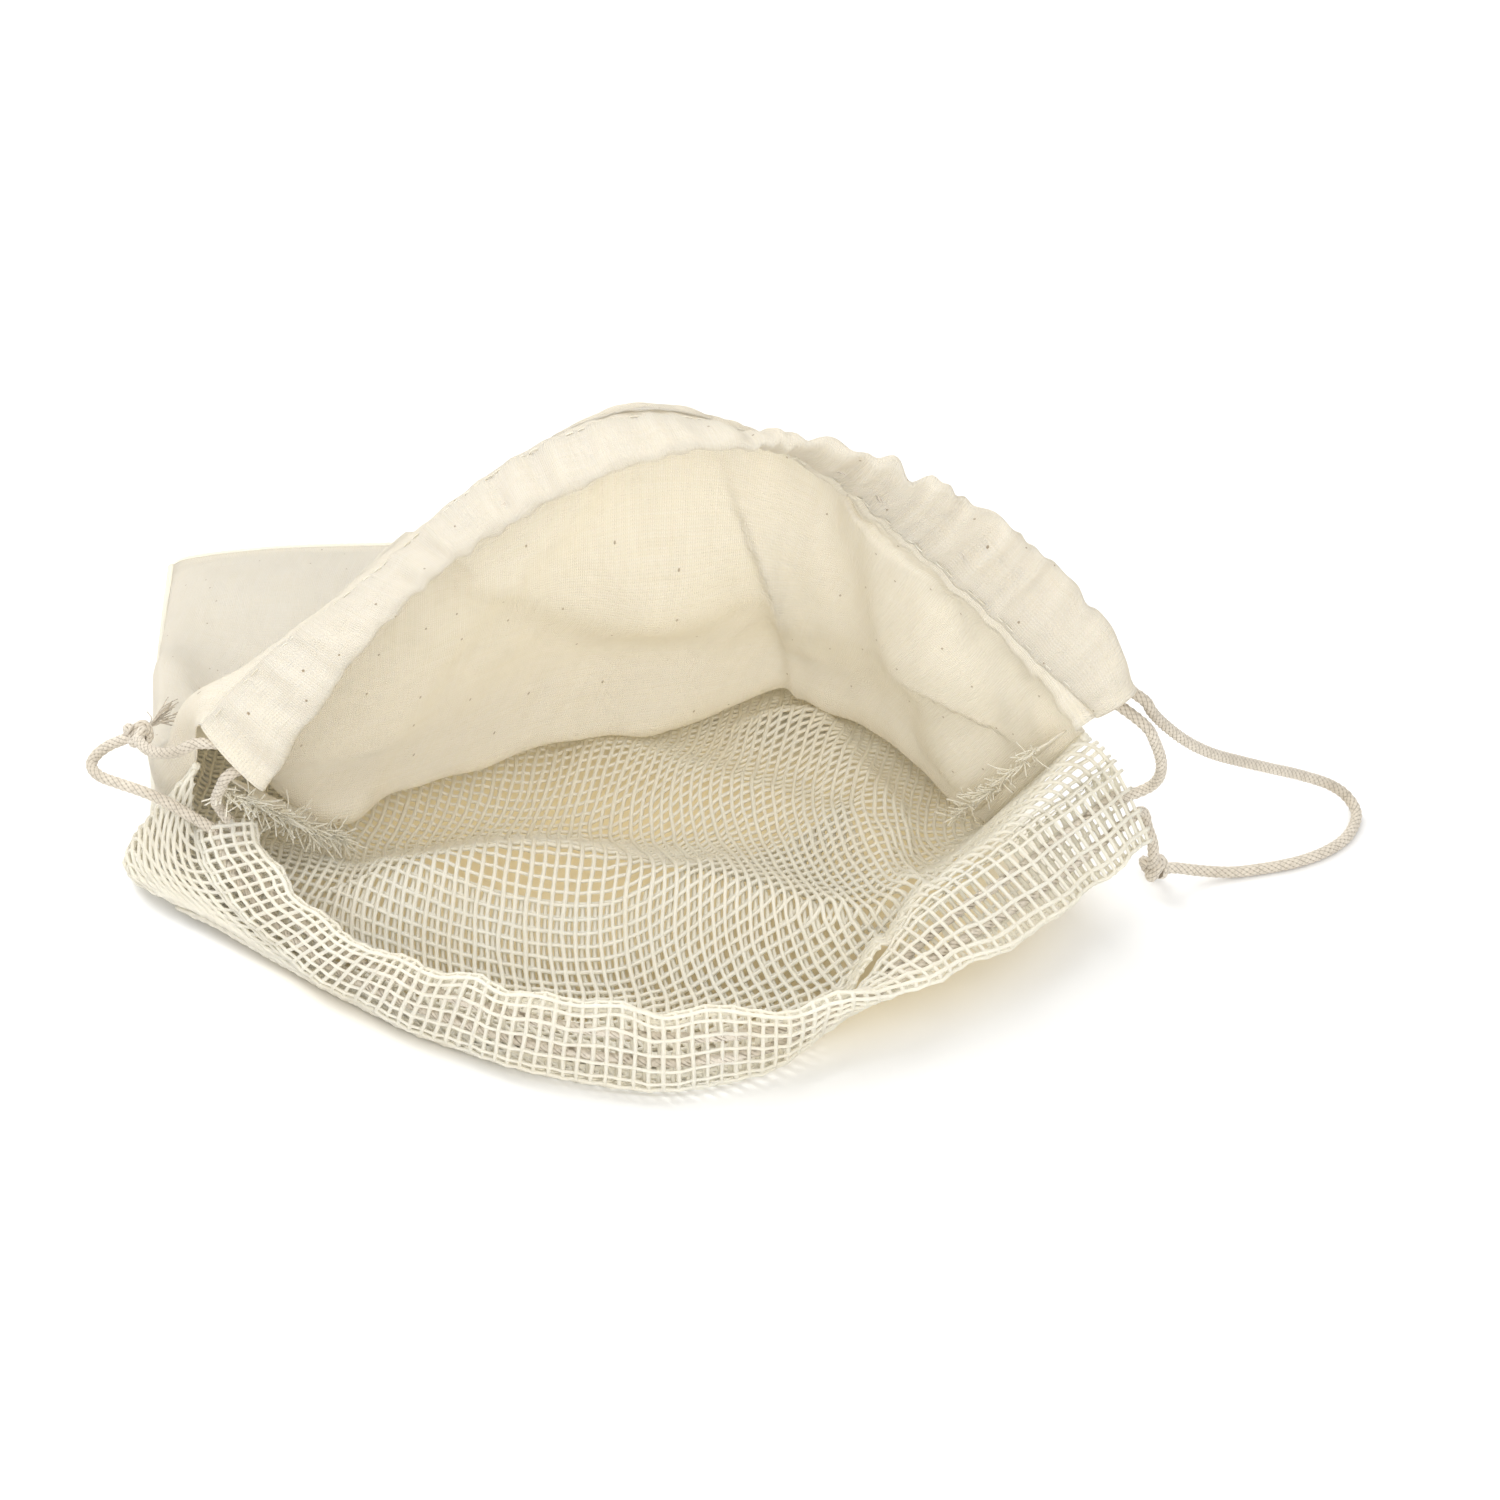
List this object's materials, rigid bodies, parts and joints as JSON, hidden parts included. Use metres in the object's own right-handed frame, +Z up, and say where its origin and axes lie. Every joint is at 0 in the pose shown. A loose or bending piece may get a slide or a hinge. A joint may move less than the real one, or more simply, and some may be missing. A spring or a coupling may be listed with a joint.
{
  "type": "mesh produce bag",
  "caption": "Drawstring produce bag lying open on a table, with one cotton panel, one open net panel, folded hems and a knotted cord loop at each side.",
  "frame": {"origin": "centre of the bag's footprint on the table, measured without the free cord ends", "axes": "+Z up from the table, +Y from the open mouth to the bottom seam, +X to the right when looking into the mouth"},
  "size_m": [0.3227, 0.2611, 0.1291],
  "materials": {
    "cotton": "matt unbleached plain-weave cotton",
    "net": "matt unbleached leno cotton net",
    "cord": "matt braided oatmeal cotton cord",
    "thread": "matt sewing thread"
  },
  "bodies": {
    "bag": {"cotton_panel": "cotton", "net_panel": "net", "net_hem": "net", "cotton_hem_thread": "thread", "net_hem_thread": "thread", "left_side_seam": "cotton", "right_side_seam": "cotton", "bottom_seam": "cotton", "left_seam_allowance": "cotton", "right_seam_allowance": "cotton", "left_cord_in_net_hem": "cord", "right_cord_in_net_hem": "cord", "left_cord_crossing": "cord", "right_cord_crossing": "cord"},
    "mouth": {"cotton_hem": "cotton", "left_cord_in_cotton_hem": "cord", "right_cord_in_cotton_hem": "cord"},
    "left_pull": {"left_cord_loop": "cord", "left_cord_return": "cord", "left_knot": "cord", "left_tassel": "cord"},
    "right_pull": {"right_cord_loop": "cord", "right_cord_riser": "cord", "right_knot": "cord", "right_cord_end": "cord"}
  },
  "joints": [
    {"name": "mouth_close", "type": "hinge", "parent": "bag", "child": "mouth", "pos_m": [0.0095, -0.04875, 0.05375], "axis": [0.9957, -0.0251, 0.0891], "range_deg": [0, 95]},
    {"name": "left_cord_pull", "type": "slide", "parent": "bag", "child": "left_pull", "axis": [-1, 0, 0], "range_m": [0, 0.04]},
    {"name": "right_cord_pull", "type": "slide", "parent": "bag", "child": "right_pull", "axis": [1, 0, 0], "range_m": [0, 0.04]}
  ]
}
